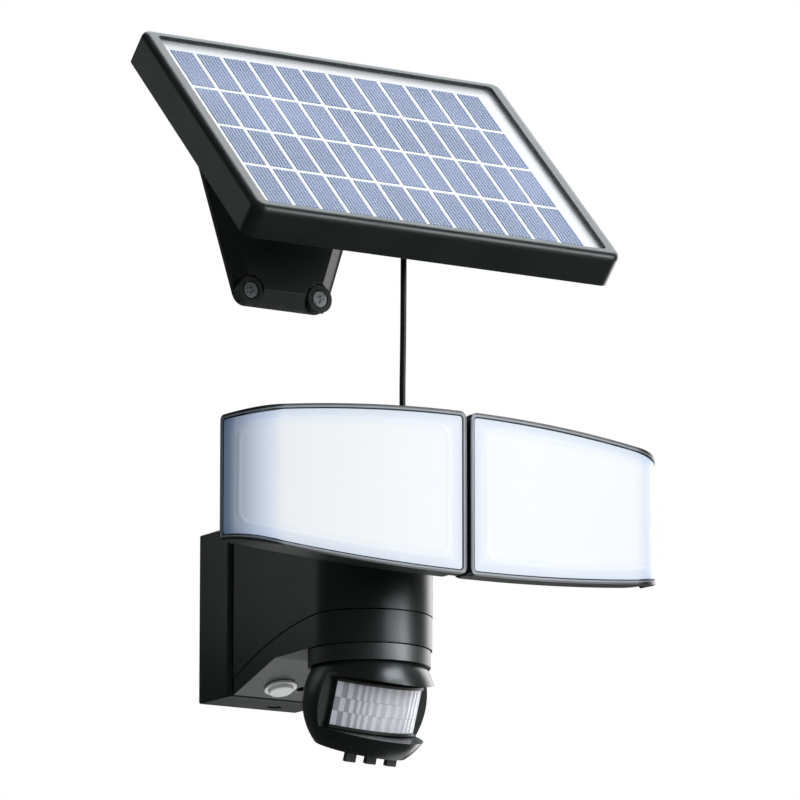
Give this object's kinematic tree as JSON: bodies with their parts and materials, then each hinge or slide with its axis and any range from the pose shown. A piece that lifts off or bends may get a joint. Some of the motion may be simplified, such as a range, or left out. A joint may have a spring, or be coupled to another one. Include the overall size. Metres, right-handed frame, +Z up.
{
  "type": "solar flood light",
  "caption": "Wall-mounted solar flood light with twin swinging lamp heads, a swivelling motion sensor and a separate hinged solar panel joined by a cable.",
  "frame": {"origin": "bottom centre of the lamp's back, on the wall", "axes": "+Z up, -Y out of the wall towards the viewer, +X to the right seen from the front"},
  "size_m": [0.2761, 0.2296, 0.4177],
  "materials": {
    "housing_plastic": "satin, fine-grained",
    "knob_plastic": "satin",
    "plate_steel": "powder coat",
    "screw_steel": "zinc-plated",
    "head_lens": "frosted polycarbonate",
    "pir_lens": "translucent, faceted inside",
    "reflector_white": "white moulding",
    "board_white": "white solder mask",
    "board_green": "green solder mask",
    "gasket_rubber": "matt",
    "cable_jacket": "matt jacket",
    "button_white": "white",
    "panel_glass": "clear tempered",
    "cell_white": "white backing film",
    "cell_blue": "polycrystalline blue",
    "battery_wrap": "heat-shrink wrap"
  },
  "bodies": {
    "lamp_body": {"mounting_plate": "plate_steel", "back_box": "housing_plastic", "box_locking_screw": "screw_steel", "upper_housing": "housing_plastic", "lower_housing": "housing_plastic", "housing_screws": "screw_steel", "battery_cells": "battery_wrap", "battery_tray": "knob_plastic", "control_board": "board_green", "button_dish": "button_white", "button_spring": "screw_steel", "button_switch": "board_green", "head_yoke": "housing_plastic", "tilt_bolt": "screw_steel", "lamp_gland": "housing_plastic", "panel_cable": "cable_jacket", "wall_bracket": "housing_plastic", "bracket_screws": "screw_steel", "hinge_bolt": "screw_steel"},
    "solar_panel": {"panel_frame": "housing_plastic", "panel_glass": "panel_glass", "cell_sheet": "cell_white", "solar_cells": "cell_blue", "panel_back": "housing_plastic", "panel_screws": "screw_steel", "hinge_lug": "housing_plastic", "panel_grommet": "gasket_rubber"},
    "panel_wing_nut": {"wing_nut": "knob_plastic"},
    "head_carrier": {"head_hub": "housing_plastic", "hub_pins": "screw_steel"},
    "head_thumb_nut": {"tilt_thumb_nut": "knob_plastic"},
    "right_head": {"right_head_housing": "housing_plastic", "right_head_bezel": "housing_plastic", "right_head_gasket": "gasket_rubber", "right_head_lens": "head_lens", "right_head_reflector": "reflector_white", "right_led_board": "board_white", "right_head_screws": "screw_steel"},
    "left_head": {"left_head_housing": "housing_plastic", "left_head_bezel": "housing_plastic", "left_head_gasket": "gasket_rubber", "left_head_lens": "head_lens", "left_head_reflector": "reflector_white", "left_led_board": "board_white", "left_head_screws": "screw_steel"},
    "sensor_swivel": {"sensor_collar": "housing_plastic", "collar_clip": "knob_plastic", "swivel_stem": "knob_plastic"},
    "sensor_ball": {"sensor_front_shell": "housing_plastic", "sensor_rear_shell": "housing_plastic", "lens_holder": "knob_plastic", "pir_lens": "pir_lens", "sensor_board": "board_green", "detector": "screw_steel"},
    "knob_time_body": {"knob_time": "knob_plastic"},
    "knob_light_body": {"knob_light": "knob_plastic"},
    "knob_range_body": {"knob_range": "knob_plastic"},
    "mode_button": {"push_button": "button_white"}
  },
  "joints": [
    {"name": "panel_tilt", "type": "hinge", "parent": "lamp_body", "child": "solar_panel", "pos_m": [0.019, -0.078, 0.277], "axis": [1, 0, 0], "range_deg": [-15, 40], "deforming": ["panel_cable"]},
    {"name": "wing_nut_turn", "type": "hinge", "parent": "lamp_body", "child": "panel_wing_nut", "pos_m": [0.0367, -0.078, 0.277], "axis": [1, 0, 0], "continuous": true},
    {"name": "head_tilt", "type": "hinge", "parent": "lamp_body", "child": "head_carrier", "pos_m": [0, -0.181, 0.087], "axis": [1, 0, 0], "range_deg": [-20, 20]},
    {"name": "thumb_nut_turn", "type": "hinge", "parent": "lamp_body", "child": "head_thumb_nut", "pos_m": [0.0164, -0.181, 0.087], "axis": [1, 0, 0], "continuous": true},
    {"name": "right_head_swing", "type": "hinge", "parent": "head_carrier", "child": "right_head", "pos_m": [0.01, -0.199, 0.087], "axis": [0, 0, 1], "range_deg": [0, 25]},
    {"name": "left_head_swing", "type": "hinge", "parent": "head_carrier", "child": "left_head", "pos_m": [-0.01, -0.199, 0.087], "axis": [0, 0, 1], "range_deg": [-25, 0]},
    {"name": "sensor_pan", "type": "hinge", "parent": "lamp_body", "child": "sensor_swivel", "pos_m": [0, -0.1288, 0.01], "axis": [0, 0, 1], "range_deg": [-90, 90]},
    {"name": "sensor_tilt", "type": "hinge", "parent": "sensor_swivel", "child": "sensor_ball", "pos_m": [0, -0.1288, -0.0135], "axis": [0.9962, 0.0872, 0], "range_deg": [-19, 21]},
    {"name": "knob_time_turn", "type": "hinge", "parent": "sensor_ball", "child": "knob_time_body", "pos_m": [-0.01366, -0.13096, -0.0445], "axis": [0.0284, -0.3243, 0.9455], "range_deg": [-135, 135]},
    {"name": "knob_light_turn", "type": "hinge", "parent": "sensor_ball", "child": "knob_light_body", "pos_m": [0.00008, -0.12976, -0.0445], "axis": [0.0284, -0.3243, 0.9455], "range_deg": [-135, 135]},
    {"name": "knob_range_turn", "type": "hinge", "parent": "sensor_ball", "child": "knob_range_body", "pos_m": [0.01383, -0.12855, -0.0445], "axis": [0.0284, -0.3243, 0.9455], "range_deg": [-135, 135]},
    {"name": "button_press", "type": "slide", "parent": "lamp_body", "child": "mode_button", "axis": [0, 0.2892, 0.9573], "range_m": [0, 0.0012], "stiffness_N_per_m": 400, "springref_m": -0.0012, "deforming": ["button_spring"]}
  ]
}
